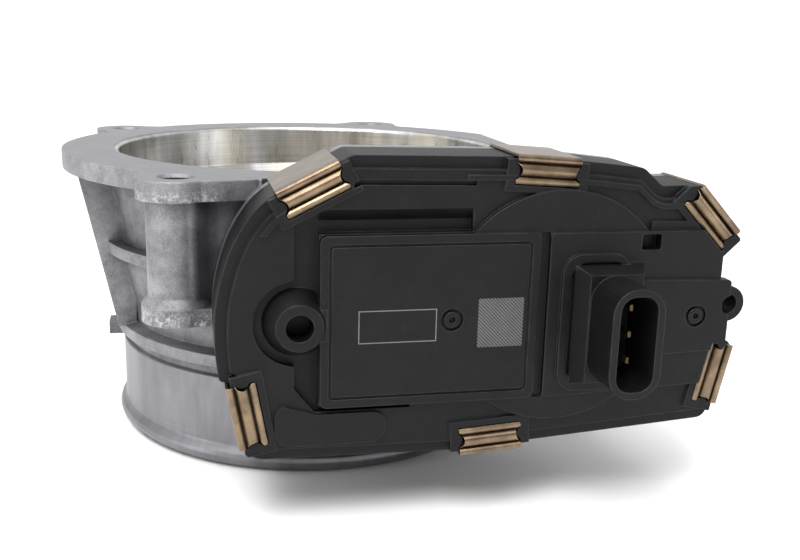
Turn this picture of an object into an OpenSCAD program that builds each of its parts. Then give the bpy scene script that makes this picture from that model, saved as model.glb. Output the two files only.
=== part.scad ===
// Electronic throttle body: a die-cast aluminium housing with a manifold
// flange on top, an inlet hose spigot below and a plastic gear cover in front.
// Millimetres. Origin: throttle bore axis on the manifold flange face.
// +Z out of the flange, -Y out of the gear cover, +X along the gear train.

/* [Throttle bore] */
// bore radius where the plate closes
bore_r = 43.5; // [35:0.5:50]
// bore radius at the manifold end
top_bore_r = 48.6; // [45:0.1:52]
// radius of the lead-in at the flange face
lead_in_r = 49.7; // [46:0.1:53]
// height of the throttle shaft axis
shaft_z = -23.2; // [-30:0.1:-20]
// tilt of the closed plate
closed_tilt = 6; // [4:0.5:8]
// limp-home opening above closed
limp_angle = 7; // [5:0.5:10]

/* [Manifold flange] */
// radius of the round part of the flange
flange_r = 61.8; // [58:0.1:66]
// flange thickness
flange_t = 4.2; // [3.5:0.1:7]
// radius of the bolt circle
bolt_circle_r = 64.5; // [60:0.1:70]
// bolt hole radius
bolt_hole_r = 3.3; // [3:0.1:4]
// ear radius round each bolt hole
ear_r = 8.1; // [7:0.1:11]
// bolt angles: front left, front right, back right, back left
bolt_angles = [-122.3, -38, 66, 139];

/* [Inlet spigot] */
// outer radius of the spigot
spigot_r = 49; // [45:0.5:52]
// radius of the hose bead
bead_r = 50.6; // [48:0.1:54]
// bore radius of the spigot
spigot_bore_r = 46; // [44:0.5:48]
// lower end of the spigot
spigot_end_z = -69.4; // [-75:0.1:-66]

/* [Gear cover] */
// parting plane between cover and housing
part_y = -62; // [-64:0.5:-60]
// front of the rim band
rim_y = -75.2; // [-77:0.1:-73]
// main face of the cover
face_y = -76.3; // [-78:0.1:-75]
// front of the raised electronics panel
panel_y = -78; // [-80:0.1:-77]
// front of the connector
plug_y = -93; // [-98:0.5:-88]
// cover wall thickness
cover_t = 2.4; // [1.8:0.1:3]

/* [Gear train] */
// first stage module
mod1 = 0.8; // [0.6:0.1:1]
// motor pinion teeth
pinion_z = 11; // [10:1:14]
// large idler wheel teeth
wheel_z = 54; // [50:1:60]
// second stage module
mod2 = 1.2; // [1:0.1:1.4]
// small idler pinion teeth
small_z = 12; // [11:1:14]
// sector gear teeth on a full circle
sector_z = 43; // [40:1:46]
// backlash at the pitch circle
backlash = 0.16; // [0.05:0.01:0.3]

/* [Motor] */
// motor can outer radius
can_r = 15; // [13:0.5:16]
// half width across the flats of the can
can_flat = 12.3; // [11:0.1:14]
// direction from the idler to the motor, degrees below +X
motor_dip = 14; // [0:1:20]

/* [Hidden] */
$fn = 72;
e = 0.01;
idler_x = mod2 * (small_z + sector_z) / 2;
stage1_c = mod1 * (pinion_z + wheel_z) / 2;
motor_x = idler_x + stage1_c * cos(motor_dip);
motor_z = shaft_z - stage1_c * sin(motor_dip);
rest_tilt = closed_tilt + limp_angle;
lip_y = part_y + 3.1;
floor_y = -57.5;
bolts = [for (a = bolt_angles) [bolt_circle_r * cos(a), bolt_circle_r * sin(a)]];
clip_w = 13;
// clip seats: x, z, turn, seen from the front
clips = [
  [-10.6, 2.6, 26.6], [36.3, 6.06, -4.0], [73.6, -4.26, -46.6],
  [77.9, -39.8, -101.8], [27.1, -53.32, 183.9], [-24.45, -43.75, 100.6]
];
plug_c = [49.8, -27.0];
plug_half_w = 5.3;
plug_half_h = 10.95;
pin_rows = [-1.6, 1.6];
pin_cols = [-5.4, 0, 5.4];

// ---------- helpers ----------

// 2D shape in X and Z, extruded from y0 to y1
module ex(y0, y1) {
  translate([0, y1, 0]) rotate([90, 0, 0]) linear_extrude(height = y1 - y0) children();
}

// cylinder along Y from y0 to y1
module cy(x, z, y0, y1, r) {
  translate([x, y1, z]) rotate([90, 0, 0]) cylinder(h = y1 - y0, r = r);
}

// cone along Y, radius r0 at y0 and r1 at y1
module coy(x, z, y0, y1, r0, r1) {
  translate([x, y1, z]) rotate([90, 0, 0]) cylinder(h = y1 - y0, r1 = r1, r2 = r0);
}

// ring along Y
module ringy(x, z, y0, y1, ro, ri) {
  difference() {
    cy(x, z, y0, y1, ro);
    cy(x, z, y0 - 1, y1 + 1, ri);
  }
}

// box from two corners
module bx(a, b) {
  translate(a) cube(b - a);
}

// points of a polygon with each corner rounded: [x, y, r]
function corner(a, b, c, r, n) =
  let (u = (a - b) / norm(a - b), v = (c - b) / norm(c - b),
       h = acos(max(-1, min(1, u * v))) / 2, t = r / tan(h),
       m = b + (u + v) / norm(u + v) * (r / sin(h)),
       p = b + u * t, q = b + v * t,
       a0 = atan2(p[1] - m[1], p[0] - m[0]), a1 = atan2(q[1] - m[1], q[0] - m[0]),
       d = ((a1 - a0 + 540) % 360) - 180)
  [for (i = [0:n]) m + r * [cos(a0 + d * i / n), sin(a0 + d * i / n)]];
function xy(p) = [p[0], p[1]];
function rounded(p, n = 5) =
  [for (i = [0:len(p) - 1])
    for (q = p[i][2] <= 0 ? [xy(p[i])]
      : corner(xy(p[(i + len(p) - 1) % len(p)]), xy(p[i]), xy(p[(i + 1) % len(p)]), p[i][2], n)) q];

// rounded rectangle by centre and half sizes
module rrect(cx, cz, hw, hh, r) {
  polygon(rounded([[cx - hw, cz - hh, r], [cx + hw, cz - hh, r],
    [cx + hw, cz + hh, r], [cx - hw, cz + hh, r]], 6));
}

// involute gear outline, teeth n0 to n1, first tooth centred at angle a
function inv(t) = tan(t) * 180 / PI - t;
function gear_points(z, m, x, a, n0, n1) =
  let (rp = z * m / 2, rb = rp * cos(20), ra = rp + m * (1 + x) - 0.05,
       rf = rp - m * (1.25 - x), s = m * (PI / 2 + 2 * x * tan(20)) - backlash / 2,
       h = s / (2 * rp) * 180 / PI, r0 = max(rb, rf + e))
  [for (k = [n0:n1]) let (c = a + k * 360 / z)
    for (p = concat(
      [[rf, c - h - inv(20)]],
      [for (i = [0:4]) let (r = r0 + (ra - r0) * i / 4)
        [r, c - h - inv(20) + inv(acos(min(1, rb / r)))]],
      [for (i = [4:-1:0]) let (r = r0 + (ra - r0) * i / 4)
        [r, c + h + inv(20) - inv(acos(min(1, rb / r)))]],
      [[rf, c + h + inv(20)]]))
    p[0] * [cos(p[1]), sin(p[1])]];

// outline shared by the cover and the housing lip, in X and Z
module rim_outline(inset = 0) {
  pts = rounded([
    [-20.6, -53.2, 5], [20, -53.8, 20], [75.8, -49.95, 2.5],
    [79.4, -32.6, 1.5], [75.8, -31.6, 1], [75.8, -13.8, 1],
    [79.6, -10.6, 1.5], [68.9, 0.7, 1.2], [61.2, 0.5, 2], [57, 4.2, 3],
    [47, 5.3, 12], [30, 6.5, 14], [-2, 6.9, 2.5],
    [-19.6, -1.9, 17], [-25, -10.5, 28], [-28, -21, 36], [-28.2, -31, 45],
    [-27.4, -36.5, 0.8], [-25.6, -36.9, 0.6], [-23.1, -51, 3]], 6);
  if (inset == 0) polygon(pts);
  else offset(delta = -inset) polygon(pts);
}

// everything on the throttle shaft that follows the plate angle
module tilt(a) {
  translate([0, 0, shaft_z]) rotate([0, a, 0]) children();
}

// strip outline from a centre line
function ribbon(p, t) =
  let (n = len(p) - 1,
       d = [for (i = [0:n]) let (v = p[min(n, i + 1)] - p[max(0, i - 1)]) [-v[1], v[0]] / norm(v)])
  concat([for (i = [0:n]) p[i] + d[i] * t / 2], [for (i = [n:-1:0]) p[i] - d[i] * t / 2]);

// places a child drawn with x along the clip and y outward, z toward the front
module at_clip(i) {
  translate([clips[i][0], 0, clips[i][1]]) rotate([0, -clips[i][2], 0]) rotate([90, 0, 0]) children();
}

// ---------- housing ----------

module body_solid() {
  rotate_extrude()
    polygon([[0, 0], [53, 0], [53, -flange_t], [51.6, -flange_t - 1.5], [51.5, -9],
      [49.8, -16], [49.8, -27], [47.4, -37], [47.2, -41.6], [50.3, -42.4], [50.3, -45],
      [48.1, -45.5], [48.1, -47.4], [spigot_r, -48.1], [spigot_r, -64], [49.5, -64.7],
      [50.3, -65.4], [bead_r, -66.4], [50.3, -67.4], [49.4, -68.3], [48.6, -69.1],
      [48.0, spigot_end_z], [0, spigot_end_z]]);
}

module bore_cut() {
  rotate_extrude()
    polygon([[0, 1], [lead_in_r + 1, 1], [lead_in_r, 0], [top_bore_r, -0.8], [top_bore_r, -11],
      [bore_r + 1.2, -15.6], [bore_r, -17.4], [bore_r, -30.5], [bore_r + 0.6, -32.5],
      [spigot_bore_r, -38.5], [spigot_bore_r, spigot_end_z + 1.2],
      [spigot_bore_r + 1.3, spigot_end_z - e], [spigot_bore_r + 1.3, spigot_end_z - 1],
      [0, spigot_end_z - 1]]);
}

module ear(i) {
  a = bolt_angles[i];
  rotate([0, 0, a]) union() {
    translate([bolt_circle_r, 0]) circle(ear_r);
    polygon([[50, -15], [60.6, -10.6], [bolt_circle_r, -ear_r], [bolt_circle_r, ear_r],
      [60.6, 10.6], [50, 15]]);
  }
}

module flange_solid() {
  translate([0, 0, -flange_t]) linear_extrude(height = flange_t) difference() {
    union() {
      difference() {
        circle(flange_r, $fn = 180);
        translate([54.5, -12]) square([20, 62]);
      }
      ear(0);
      ear(1);
      ear(2);
      ear(3);
      // run-out from the front left ear to the pan
      polygon([[-36, -50], [-34.5, -62.4], [-29, -60.9], [-19, -59.3], [-12, -57], [-12, -50]]);
    }
    // clear of the first clip
    translate([-17.6, -66]) square([60, 8.1]);
  }
}

module radial_fin(a, w) {
  rotate([0, 0, a]) ex(-w / 2, w / 2)
    polygon([[45, -3], [57.9, -3], [50.1, -42.6], [45, -42.6]]);
}

module front_column() {
  translate([bolts[0][0], bolts[0][1], 0]) {
    translate([0, 0, -26]) cylinder(h = 23, r = 6.3);
    translate([0, 0, -26]) cylinder(h = 1.9, r1 = 7.7, r2 = 6.3);
    translate([0, 0, -29.6]) cylinder(h = 3.61, r = 7.7);
  }
  rotate([0, 0, bolt_angles[0]]) bx([45, -4, -29.2], [bolt_circle_r, 4, -2]);
  // hollow-faced web and foot from the column to the pan
  translate([0, 0, -26.01]) linear_extrude(height = 24)
    polygon(rounded([[-34.5, -60.75, 0], [-31, -60.3, 3], [-27.5, -57.4, 6], [-19, -56.6, 0],
      [-19, -50, 0], [-34.5, -50, 0]], 5));
  translate([0, 0, -29.6]) linear_extrude(height = 3.6)
    polygon([[-34.5, -62.1], [-27, -60.9], [-19, -60.4], [-19, -50], [-34.5, -50]]);
}

module pan_solid() {
  difference() {
    union() {
      ex(part_y, lip_y) rim_outline();
      ex(lip_y - e, -55) rim_outline(3);
    }
    // manifold side clearance above the flange face
    bx([-60, lip_y, 0.02], [100, -40, 20]);
  }
}

module chamber_cut() {
  ex(part_y - 1, floor_y) intersection() {
    rim_outline(5.2);
    translate([-60, -80]) square([200, 77]);
  }
  ex(part_y - 1, -60.9) rim_outline(5.2);
  // gasket groove
  ex(part_y - 1, part_y + 1.4) difference() {
    rim_outline(1.5);
    rim_outline(3.3);
  }
}

// round with two flats, centred on the motor axis
module can_shape(r, f) {
  translate([motor_x, motor_z]) intersection() {
    circle(r);
    square([2 * f, 2 * r + 2], center = true);
  }
}

module motor_sleeve() {
  ex(-56, -16) can_shape(can_r + 2.1, can_flat + 2.1);
  coy(motor_x, motor_z, -16.01, -13.6, 13.5, 11);
}

module neck() {
  // bearing boss and spring cup
  cy(0, shaft_z, -57, -40, 14.6);
  cy(0, shaft_z, -57, -49.5, 19.7);
  coy(0, shaft_z, -49.51, -44.5, 19.7, 14.6);
  // webs between the bore wall and the pan
  bx([-22.5, -56, -46], [-18.5, -40, -2]);
  bx([20.5, -56, -46], [24.5, -38, -2]);
  bx([-22.5, -56, -46], [46, -38, -42.4]);
  bx([-22.5, -56, shaft_z - 2], [44, -38, shaft_z + 2]);
  bx([-24, -57.7, -4.2], [44, -45, 0]);
  // idler pin boss
  cy(idler_x, shaft_z, -56, -46, 6.2);
  // lug beside the cover step
  bx([60.2, -61, -6], [66.8, -53, -0.6]);
}

module far_boss() {
  cy(0, shaft_z, 40, 57, 12);
  coy(0, shaft_z, 44, 50, 16, 12);
  bx([-2, 44, -42], [2, 54, -2]);
  bx([-24, 40, shaft_z - 2], [24, 50, shaft_z + 2]);
}

module housing() {
  color("silver") difference() {
    union() {
      difference() {
        housing_solid();
        chamber_cut();
      }
      // pillar that carries the stop screw
      bx([-17.4, -60.9, -50], [-9.8, -57, -41.6]);
    }
    housing_cuts();
  }
}

module housing_solid() {
  body_solid();
  flange_solid();
  // large front face rib at the left and its thinner relatives
  ex(-15.2, -9.8) polygon([[-45, -3], [-57.7, -3], [-49.4, -42.6], [-45, -42.6]]);
  radial_fin(150, 3.6);
  radial_fin(118, 3.6);
  radial_fin(62, 3.6);
  radial_fin(32, 3.6);
  // shelf rib round the body
  intersection() {
    translate([0, 0, -23.9]) cylinder(h = 2.7, r = 53.3);
    bx([-60, -54, -30], [40, 60, 0]);
  }
  // locating tab above the spigot
  bx([-52.6, -3, -48.2], [-46.5, 3, -45]);
  front_column();
  neck();
  motor_sleeve();
  far_boss();
  pan_solid();
  // vent nipple boss on the right
  cy(70.8, -20.5, -57, -52, 4);
}

module housing_cuts() {
  bore_cut();
  // bolt holes with small countersinks
  for (i = [0:3]) translate([bolts[i][0], bolts[i][1], 0]) {
    translate([0, 0, i == 0 ? -40 : -7]) cylinder(h = 50, r = bolt_hole_r);
    translate([0, 0, -0.7]) cylinder(h = 0.8, r1 = bolt_hole_r, r2 = bolt_hole_r + 0.8);
  }
  // shaft bore and seats
  cy(0, shaft_z, -58, 57.2, 5.4);
  cy(0, shaft_z, -60, -51.3, 11);
  cy(0, shaft_z, -51.5, -48.2, 9);
  cy(0, shaft_z, 44.6, 58, 8);
  cy(0, shaft_z, 54.2, 58, 9.5);
  // spring pocket
  ringy(0, shaft_z, floor_y - 1, -51.3, 17.6, 12.9);
  // slot for the fixed spring leg
  bx([-1.1, floor_y - 1, shaft_z - 19.4], [1.1, -51.3, shaft_z - 14]);
  // idler pin bore
  cy(idler_x, shaft_z, floor_y - 1, -49, 2.5);
  // motor cavity
  ex(floor_y - 1, -16.6) can_shape(can_r + 0.05, can_flat + 0.05);
  cy(motor_x, motor_z, -17, -14.6, 6);
  // motor screw holes
  for (p = motor_screw_points) cy(p[0], p[1], -58, -49.5, 1.5);
  // stop screw thread
  translate([-13.6, -58.3, -58]) cylinder(h = 20, r = 1.78);
  // breather hole
  cy(70.8, -20.5, -60, -51, 1.4);
  // room for the first clip
  at_clip(0) {
    translate([-6.9, -2.95, 57.7]) cube([13.8, 5, 1.2]);
    translate([-6.9, 0.05, 57.7]) cube([13.8, 5, 5]);
  }
  // duct pressure tapping
  rotate([0, 0, 165]) translate([40, 0, -35]) rotate([0, 90, 0]) cylinder(h = 14, r = 1.2);
}

motor_screw_points = [
  [motor_x - 13.8, motor_z + 11.8], [motor_x - 13.8, motor_z - 11.8]
];

module far_end_plug() {
  color("lightgray") difference() {
    cy(0, shaft_z, 54.2, 56.4, 9.5);
    coy(0, shaft_z, 55, 56.5, 6.5, 8);
  }
}

module stop_screw() {
  color("dimgray") difference() {
    union() {
      translate([-13.6, -58.3, -53.2]) cylinder(h = 13.2, r = 1.75);
      translate([-13.6, -58.3, -40.01]) cylinder(h = 1.2, r1 = 1.75, r2 = 1.0);
    }
    translate([-13.6, -58.3, -53.3]) cylinder(h = 2.2, r = 1.0, $fn = 6);
  }
}

// ---------- gear cover ----------

module frame_shape(grow) {
  polygon(rounded([[39.8 - grow, -41 - grow, 4], [52, -41 - grow, 4], [57 + grow, -36, 4],
    [57 + grow, -18, 4], [52, -12.4 + grow, 4], [39.8 - grow, -12.4 + grow, 4]], 6));
}

module stadium(hw, hh) {
  rrect(plug_c[0], plug_c[1], hw, hh, hw - 0.3);
}

module cover_solid() {
  ex(rim_y, part_y) rim_outline();
  ex(face_y, rim_y + e) rim_outline(2.4);
  // raised electronics panel with a field line
  ex(panel_y, face_y + e) rrect(13.4, -25.1, 21.8, 17.1, 1.4);
  // connector plateau
  ex(panel_y, face_y + e) polygon(rounded([[37.2, -42.3, 1], [74.8, -41, 2], [74.8, -8.2, 2],
    [37.2, -8.2, 1]]));
  // band beside the connector
  ex(-78.6, face_y + e) polygon(rounded([[57, -34.3, 0.8], [77, -33.6, 0.8], [77, -18.6, 0.8],
    [57, -18, 0.8]]));
  // round dome above and below the plateau
  intersection() {
    cy(39.8, -23.5, -77.4, face_y + e, 23.8);
    ex(-80, part_y) rim_outline(3.2);
  }
  // left boss and its bridge
  coy(-12.4, -25.3, -79.5, -74.6, 4.6, 6.9);
  ex(-78.3, -74.6) polygon([[-12.4, -29], [-7, -28.4], [-7, -22.2], [-12.4, -21.6]]);
  // right ear
  cy(77.3, -24.1, -77.2, -69, 3.8);
  ex(-77.2, -69) polygon([[72, -29], [77.3, -27.9], [77.3, -20.3], [72, -19]]);
  // contour ridges
  ex(-77, face_y + e) difference() {
    rim_outline(3.4);
    rim_outline(4.4);
    translate([-40, -80]) square([140, 72]);
    translate([-6, -8]) square([26, 20]);
  }
  ex(-77, face_y + e) polygon(rounded([[58.8, -8.6, 0.3], [69.2, -8.6, 0.3], [69.2, -6.4, 0.3],
    [58.8, -6.4, 0.3]]));
  // lower left bulge
  ex(-76.9, face_y + e) polygon(rounded([[-17, -50.3, 3], [5, -50.3, 3], [5, -43.8, 2.5],
    [-9, -43.8, 3], [-17, -41.2, 2]]));
  // connector frame, base and shell
  ex(-78.8, face_y + e) difference() {
    frame_shape(0);
    frame_shape(-1.6);
  }
  intersection() {
    translate([0, 0, -39.6]) linear_extrude(height = 25.2)
      polygon([[42.0, -77.9], [57.6, -77.9], [55.4, -82.4], [44.2, -82.4]]);
    rotate([90, 0, 90]) linear_extrude(height = 60)
      polygon([[-77.9, -39.6], [-77.9, -14.4], [-82.4, -15.9], [-82.4, -38.1]]);
  }
  translate([0, -77.9, 0]) cover_plug();
}

// connector shell, drawn from its base toward the front
module cover_plug() {
  len_y = -77.9 - plug_y;
  ex(-len_y, 0) stadium(plug_half_w, plug_half_h);
  // latch ramp and polarising ribs
  ex(-len_y + 4.5, -4) rrect(plug_c[0] + plug_half_w, plug_c[1], 0.8, 3.2, 0.3);
  ex(-len_y + 1.5, -4) rrect(plug_c[0] + plug_half_w - 0.3, plug_c[1] + 6.4, 0.7, 0.7, 0.2);
  ex(-len_y + 1.5, -4) rrect(plug_c[0] + plug_half_w - 0.3, plug_c[1] - 6.4, 0.7, 0.7, 0.2);
}

module cover_cavity() {
  ex(part_y - 2.4, part_y + 1) rim_outline(5.2);
  ex(-72.9, part_y - 2.39) rim_outline(2.6);
  // deeper pocket for the sensor board and conductors
  ex(-75.6, -72.8) {
    translate([-6.5, -40.3]) square([33.5, 30.4]);
    translate([26.9, -39.8]) square([13, 9.6]);
    translate([26.9, -17.2]) square([13, 5.0]);
    translate([39.6, -39.8]) square([28, 27.6]);
  }
}

module trough_cut() {
  // sunken channel left of the raised panel
  ex(-79, -74.5) polygon([[-13.2, -38.4], [-13.2, -6], [-10.6, -3.6], [-8.45, -3.6], [-8.45, -42.25],
    [10, -42.25], [10, -43.4], [-9.2, -43.4]]);
  // recess that follows the left boss
  intersection() {
    cy(-12.4, -25.3, -79, -74.5, 8.6);
    bx([-30, -80, -40], [-8.44, -70, -10]);
  }
  // ramp above the panel, deepest at the panel's edge
  translate([-8.46, 0, 0]) rotate([90, 0, 90]) linear_extrude(height = 30)
    polygon([[-79, -2.9], [-76.31, -3.2], [-74.5, -5.6], [-74.5, -7.9], [-79, -7.9]]);
}

module clip_pocket() {
  translate([0, 0, 74.3]) linear_extrude(height = 6) difference() {
    translate([-6.65, -5.3]) square([13.3, 8]);
    translate([-7.2, -2.6]) circle(1.4);
    translate([7.2, -2.6]) circle(1.4);
  }
}

module clip_holder() {
  // frame round a pocket
  translate([-8.4, -6.6, 74.6]) cube([16.8, 6.3, 2.3]);
}

module gear_cover() {
  color([0.14, 0.14, 0.15]) difference() {
    union() {
      difference() {
        cover_solid();
        cover_cavity();
        difference() {
          trough_cut();
          cy(39.8, -23.5, -80, -70, 23.8);
          coy(-12.4, -25.3, -79.6, -74.4, 4.6, 6.9);
          ex(-79, -74) polygon([[-12.4, -29], [-7, -28.4], [-7, -22.2], [-12.4, -21.6]]);
        }
      }
      intersection() {
        union() {
          for (i = [0:5]) at_clip(i) clip_holder();
        }
        ex(-80, -70) rim_outline();
      }
    }
    for (i = [0:5]) at_clip(i) clip_pocket();
    // dividing grooves beside the panel
    ex(-80, -76.7) translate([35.2, -42.4]) square([2, 34.4]);
    // field line on the panel
    ex(-80, panel_y + 0.35) difference() {
      rrect(13.4, -25.1, 20.1, 15.4, 0.8);
      rrect(13.4, -25.1, 19.6, 14.9, 0.6);
    }
    // locating hole in the left boss
    cy(-12.4, -25.3, -90, -73.9, 2.7);
    // gate marks with a raised centre
    for (p = [[17.6, -25.1, panel_y], [69.5, -26.1, -78.6]]) {
      cy(p[0], p[1], p[2] - 1, p[2] + 0.7, 0.7);
      ringy(p[0], p[1], p[2] - 1, p[2] + 0.7, 2.3, 1.6);
    }
    // shallow groove just inside the rim
    ex(-80, -75.5) difference() {
      rim_outline(4.6);
      rim_outline(5.5);
      translate([-40, -80]) square([140, 73]);
      translate([22, -10]) square([60, 30]);
      translate([-30, -10]) square([28, 30]);
    }
    // window notch and ear hole
    ex(-80, -75.4) polygon(rounded([[56.5, -12, 0.4], [60.7, -12, 0.4], [60.7, -8.8, 0.4], [56.5, -8.8, 0.4]]));
    cy(77.3, -24.1, -80, -60, 2.1);
    // connector socket and pin slots
    ex(-100, -80) rrect(plug_c[0], plug_c[1], 3.8, 9.45, 3);
    for (x = pin_rows) for (z = pin_cols)
      bx([plug_c[0] + x - 0.34, -81, plug_c[1] + z - 0.62], [plug_c[0] + x + 0.34, -75, plug_c[1] + z + 0.62]);
    // idler pin socket
    cy(idler_x, shaft_z, -74.7, -70, 2.5);
  }
}

module cover_gasket() {
  color([0.25, 0.12, 0.1]) ex(part_y + 0.04, part_y + 1.38) difference() {
    rim_outline(1.65);
    rim_outline(3.15);
  }
}

// one retaining clip in its own frame
module clip() {
  path = concat([[-2.5, 58.35], [-0.2, 58.35]],
    [for (a = [-60, -30, 0]) [-0.2 + 0.65 * cos(a), 59.0 + 0.65 * sin(a)]],
    [for (a = [0:30:180]) [-0.02 + 0.47 * cos(a), 76.8 + 0.47 * sin(a)]],
    [for (a = [-30:-30:-150]) [-0.85 + 0.36 * cos(a), 76.0 + 0.36 * sin(a)]],
    [for (a = [180:-18:0]) [-2.2 - 0.99 * cos(a), 76.4 + 0.99 * sin(a)]],
    [for (a = [-30:-30:-150]) [-3.55 + 0.36 * cos(a), 75.9 + 0.36 * sin(a)]],
    [for (a = [0:36:180]) [-4.4 + 0.49 * cos(a), 76.5 + 0.49 * sin(a)]],
    [[-4.92, 75.9]]);
  difference() {
    translate([6.5, 0, 0]) rotate([0, -90, 0]) linear_extrude(height = 13)
      polygon([for (q = ribbon(path, 0.55)) [q[1], q[0]]]);
    for (s = [-1, 1]) translate([7.2 * s, -2.6, 70]) cylinder(h = 10, r = 1.75);
  }
}

module cover_clips() {
  color([0.55, 0.47, 0.36]) for (i = [0:5]) at_clip(i) clip();
}

module connector_pins() {
  color("gold") for (x = pin_rows) for (z = pin_cols)
    bx([plug_c[0] + x - 0.3, -86, plug_c[1] + z - 0.58], [plug_c[0] + x + 0.3, -75.56, plug_c[1] + z + 0.58]);
}

// flat conductor between two points, along X or Z
module strip(x0, z0, x1, z1, w = 1) {
  bx([min(x0, x1) - w / 2, -75.55, min(z0, z1) - w / 2], [max(x0, x1) + w / 2, -75.2, max(z0, z1) + w / 2]);
}

module lead_frame() {
  x1 = plug_c[0] + pin_rows[0];
  x2 = plug_c[0] + pin_rows[1];
  za = plug_c[1] + pin_cols[0];
  zb = plug_c[1] + pin_cols[1];
  zc = plug_c[1] + pin_cols[2];
  color("goldenrod") {
    strip(27, -38.4, x1, -38.4);
    strip(x1, -38.4, x1, za);
    strip(27, -36.6, 45, -36.6);
    strip(45, -36.6, 45, zb);
    strip(45, zb, x1, zb);
    strip(27, -34.8, 43, -34.8);
    strip(43, -34.8, 43, zc);
    strip(43, zc, x1, zc);
    strip(27, -33, 41, -33);
    strip(41, -33, 41, -15);
    strip(41, -15, x2, -15);
    strip(x2, -15, x2, zc);
    strip(x2, zb, 66.2, zb);
    strip(66.2, zb, 66.2, motor_z + 6.5);
    strip(x2, za, 66.2, za);
    strip(66.2, za, 66.2, motor_z - 6.5);
  }
}

module sensor_board() {
  color("darkgreen") bx([-5.8, -75.3, -39.7], [26.3, -74.3, -10.5]);
  color([0.1, 0.1, 0.1]) {
    bx([11, -74.31, -35], [18, -73.2, -29]);
    bx([20, -74.31, -20], [24, -73.6, -14]);
  }
}

// ---------- throttle shaft group ----------

module throttle_shaft() {
  color("gainsboro") difference() {
    translate([0, 0, shaft_z]) rotate([90, 0, 0]) rotate_extrude()
      polygon([[0, -53.6], [4.4, -53.6], [5, -53], [5, 72.3], [4.4, 72.9], [0, 72.9]]);
    tilt(rest_tilt) bx([-8, -bore_r - 0.1, -1.13], [8, bore_r + 0.1, 1.13]);
    // screw holes with a flat for each head
    tilt(rest_tilt) for (y = [-20, 20]) {
      translate([0, y, -8]) cylinder(h = 16, r = 2.05);
      bx([-6, y - 3.9, 4.2], [6, y + 3.9, 7]);
    }
  }
}

module throttle_plate() {
  color("khaki") tilt(rest_tilt) difference() {
    intersection() {
      bx([-50, -50, -1.1], [50, 50, 1.1]);
      rotate([0, -closed_tilt, 0]) translate([0, 0, -20]) cylinder(h = 40, r = bore_r - 0.08);
    }
    for (y = [-20, 20]) translate([0, y, -3]) cylinder(h = 6, r = 2.05);
  }
}

module plate_screws() {
  color("silver") tilt(rest_tilt) for (y = [-20, 20]) translate([0, y, 0]) difference() {
    union() {
      translate([0, 0, -5.3]) cylinder(h = 9.6, r = 2);
      translate([0, 0, 4.25]) cylinder(h = 1.9, r = 3.6);
    }
    translate([0, 0, 5.0]) cylinder(h = 2, r = 1.4, $fn = 6);
  }
}

module sector_gear() {
  teeth = gear_points(sector_z, mod2, -0.25, 0, -2, 10);
  color([0.85, 0.83, 0.76]) translate([0, 0, shaft_z]) difference() {
    union() {
      ex(-72.2, -66) polygon(concat([[0, 0]], teeth));
      ex(-72.2, -58.2) circle(9.4);
      // dog arm with its peg
      ex(-72.2, -66) polygon([[0, -8], [0, 8], [-9, 11.5], [-15.4, 8.6], [-16.2, 5.4], [-8, -2]]);
      cy(15.2 * cos(152), 15.2 * sin(152), -66.01, -57.9, 1.5);
      // closed-stop arm over the stop screw
      ex(-61.6, -58.1) polygon([[2, -8], [-8, 3], [-18.4, -7.4], [-19.3, -8.6], [-17.2, -12.8],
        [-15.2, -13.6]]);
    }
    cy(0, 0, -80, -50, 7.02);
    // lightening pockets on both faces
    for (f = [-74, -67.7]) ex(f, f + 3.3) difference() {
      intersection() {
        circle(21.2);
        polygon([[0, 0], [40, -7], [40, 60], [2.6, 60]]);
      }
      circle(11.4);
      rotate(33) translate([0, -1.2]) square([30, 2.4]);
      rotate(58) translate([0, -1.2]) square([30, 2.4]);
    }
  }
}

module sector_hub_insert() {
  color("darkgray") ringy(0, shaft_z, -71.4, -58.3, 7, 5.02);
}

module sensor_rotor() {
  color("lightsteelblue") difference() {
    cy(0, shaft_z, -73.5, -72.95, 5.7);
    for (a = [30, 150, 270]) translate([0, 0, shaft_z]) rotate([0, a, 0]) bx([3, -75, -1], [7, -72, 1]);
  }
}

module return_spring() {
  // coils of the torsion spring
  color("slategray") translate([0, 0, shaft_z]) for (y = [-55.9, -54.2, -52.5])
    translate([0, y, 0]) rotate([90, 0, 0]) rotate_extrude() translate([15.2, 0]) circle(0.65, $fn = 24);
}

module spring_guide() {
  color([0.9, 0.88, 0.82]) ringy(0, shaft_z, -57.4, -52, 13.9, 12.95);
}

module bearing_outer_ring() {
  color("silver") translate([0, -54.3, shaft_z]) rotate([90, 0, 0]) rotate_extrude() difference() {
    translate([9.1, -2.95]) square([1.88, 5.9]);
    translate([8, 0]) circle(1.78);
  }
}

module bearing_inner_ring() {
  color("silver") translate([0, -54.3, shaft_z]) rotate([90, 0, 0]) rotate_extrude() difference() {
    translate([5.02, -2.95]) square([1.88, 5.9]);
    translate([8, 0]) circle(1.78);
  }
}

module bearing_balls() {
  color("white") for (i = [0:8]) translate([0, -54.3, shaft_z]) rotate([0, i * 40, 0])
    translate([8, 0, 0]) sphere(1.7, $fn = 24);
}

module bearing_cage() {
  color("tan") difference() {
    ringy(0, shaft_z, -56.7, -51.9, 8.5, 7.5);
    for (i = [0:8]) translate([0, -54.3, shaft_z]) rotate([0, i * 40 + 90, 0])
      translate([0, 0, 6.5]) cylinder(h = 3, r = 1.82);
  }
}

module needle_cup() {
  color("silver") difference() {
    cy(0, shaft_z, 47.7, 53.9, 7.97);
    cy(0, shaft_z, 48.4, 53.2, 6.66);
    cy(0, shaft_z, 47, 55, 5.45);
  }
}

module needle_rollers() {
  color("white") for (i = [0:15]) translate([0, 0, shaft_z]) rotate([0, i * 22.5, 0])
    cy(5.83, 0, 48.5, 53.1, 0.77);
}

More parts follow.
